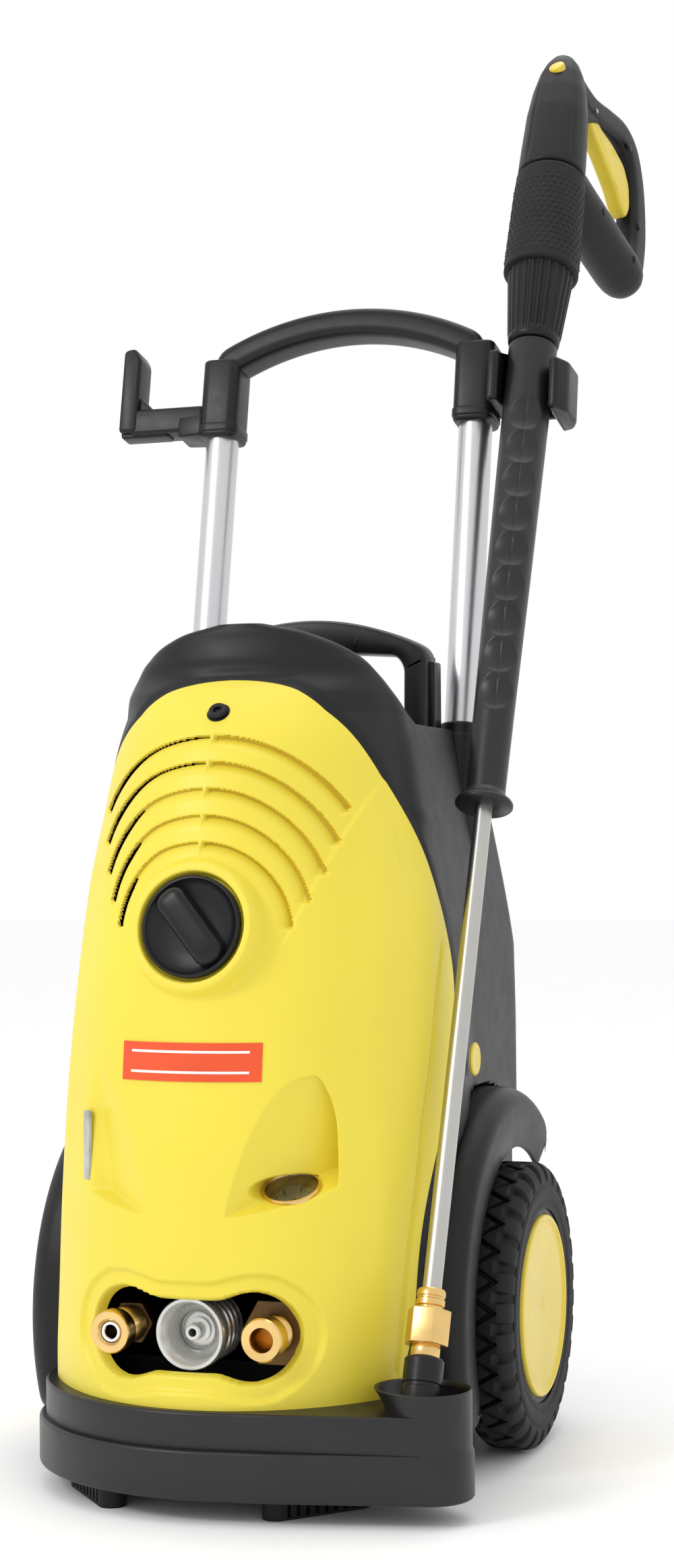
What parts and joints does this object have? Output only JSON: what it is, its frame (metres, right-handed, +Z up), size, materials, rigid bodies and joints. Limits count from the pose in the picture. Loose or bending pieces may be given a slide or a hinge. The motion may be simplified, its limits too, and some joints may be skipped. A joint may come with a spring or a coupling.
{
  "type": "pressure washer",
  "caption": "Upright pressure washer on a wheeled base with a telescopic trolley handle, carrying arch, rotary switch, pressure gauge, water fittings and a clipped-on lance with trigger gun",
  "frame": {"origin": "middle of the footprint, on the ground", "axes": "+X to the right as seen by a person facing the front cover, -Y out of the front cover, +Z up"},
  "size_m": [0.4247, 0.6637, 1.174],
  "materials": {
    "cover": "satin",
    "steel_bright": "polished",
    "badge_plastic": "gloss",
    "clear_window": "gloss",
    "housing": "satin",
    "handle_plastic": "satin",
    "guard_plastic": "satin",
    "black_trim": "satin",
    "base_plastic": "satin",
    "foot_rubber": "matte",
    "steel": "brushed",
    "tyre": "matte",
    "rim_plastic": "satin",
    "hub_plastic": "satin",
    "tube": "anodised satin",
    "bush_plastic": "satin",
    "grip_plastic": "satin",
    "switch_plastic": "satin",
    "brass": "machined",
    "dial": "printed",
    "lens": "clear",
    "motor_metal": "cast",
    "fan_plastic": "moulded",
    "capacitor_metal": "drawn",
    "bracket_steel": "plated",
    "chrome": "polished",
    "nozzle_rubber": "matte",
    "lance_steel": "polished",
    "lance_plastic": "satin",
    "gun_plastic": "satin",
    "sleeve_rubber": "matte, studded",
    "yellow_plastic": "gloss"
  },
  "bodies": {
    "machine": {"front_cover": "cover", "cover_screw": "steel_bright", "badge": "badge_plastic", "level_window": "clear_window", "rear_housing": "housing", "carry_handle": "handle_plastic", "fender_left": "guard_plastic", "fender_right": "guard_plastic", "side_cap": "black_trim", "base_tray": "base_plastic", "foot_left": "foot_rubber", "foot_right": "foot_rubber", "axle": "steel", "axle_clips": "steel", "tube_bushes": "bush_plastic", "switch_body": "switch_plastic", "gauge_case": "brass", "gauge_dial": "dial", "gauge_lens": "lens", "motor_housing": "motor_metal", "capacitor": "capacitor_metal", "motor_bracket": "bracket_steel", "crankcase": "motor_metal", "pump_head": "brass", "outlet_fitting": "brass", "outlet_insert": "steel_bright", "inlet_coupling": "chrome", "inlet_nipple": "chrome", "bypass_fitting": "brass", "unloader_valve": "brass", "pressure_pipe": "steel"},
    "wheel_left": {"tyre_left": "tyre", "rim_left": "rim_plastic", "hub_cap_left": "hub_plastic"},
    "wheel_right": {"tyre_right": "tyre", "rim_right": "rim_plastic", "hub_cap_right": "hub_plastic"},
    "knob": {"switch_knob": "black_trim"},
    "needle": {"gauge_needle": "black_trim"},
    "rotor": {"motor_shaft": "steel", "cooling_fan": "fan_plastic"},
    "handle": {"handle_tube_left": "tube", "handle_tube_right": "tube", "handle_grip": "grip_plastic", "handle_screws": "steel_bright", "hose_hook": "grip_plastic", "lance_clip": "grip_plastic"},
    "lance": {"nozzle": "nozzle_rubber", "nozzle_union": "brass", "lance_tube": "lance_steel", "lance_grip": "lance_plastic", "gun_body": "gun_plastic", "gun_sleeve": "sleeve_rubber", "trigger_pin": "steel", "gun_inlet": "brass"},
    "nut": {"union_nut": "black_trim"},
    "trigger_lever": {"trigger": "yellow_plastic"},
    "button": {"safety_button": "yellow_plastic"}
  },
  "joints": [
    {"name": "wheel_left_spin", "type": "hinge", "parent": "machine", "child": "wheel_left", "pos_m": [-0.169, -0.039, 0.11], "axis": [1, 0, 0], "continuous": true},
    {"name": "wheel_right_spin", "type": "hinge", "parent": "machine", "child": "wheel_right", "pos_m": [0.169, -0.039, 0.11], "axis": [1, 0, 0], "continuous": true},
    {"name": "switch_turn", "type": "hinge", "parent": "machine", "child": "knob", "pos_m": [0, -0.294, 0.411], "axis": [0, -0.9816, 0.1908], "range_deg": [0, 90]},
    {"name": "gauge_turn", "type": "hinge", "parent": "machine", "child": "needle", "pos_m": [0.066, -0.27, 0.225], "axis": [0, -0.4226, 0.9063], "range_deg": [-270, 0], "stiffness_Nm_per_rad": 0.00002},
    {"name": "motor_turn", "type": "hinge", "parent": "machine", "child": "rotor", "pos_m": [0, -0.069, 0.2], "axis": [0, 0, 1], "continuous": true},
    {"name": "handle_slide", "type": "slide", "parent": "machine", "child": "handle", "axis": [0, 0.2011, 0.9796], "range_m": [-0.15, 0]},
    {"name": "lance_lift", "type": "slide", "parent": "machine", "child": "lance", "axis": [0, 0.4035, 0.915], "range_m": [0, 0.12]},
    {"name": "union_nut_turn", "type": "hinge", "parent": "lance", "child": "nut", "pos_m": [0.162, 0.08798, 0.91525], "axis": [0, 0.4035, 0.915], "continuous": true},
    {"name": "trigger_squeeze", "type": "hinge", "parent": "lance", "child": "trigger_lever", "pos_m": [0.1728, 0.22803, 1.11688], "axis": [0.9744, -0.2058, 0.0908], "range_deg": [0, 9], "stiffness_Nm_per_rad": 0.6},
    {"name": "safety_press", "type": "slide", "parent": "lance", "child": "button", "axis": [0.2055, 0.6503, -0.7314], "range_m": [0, 0.003], "stiffness_N_per_m": 400}
  ]
}
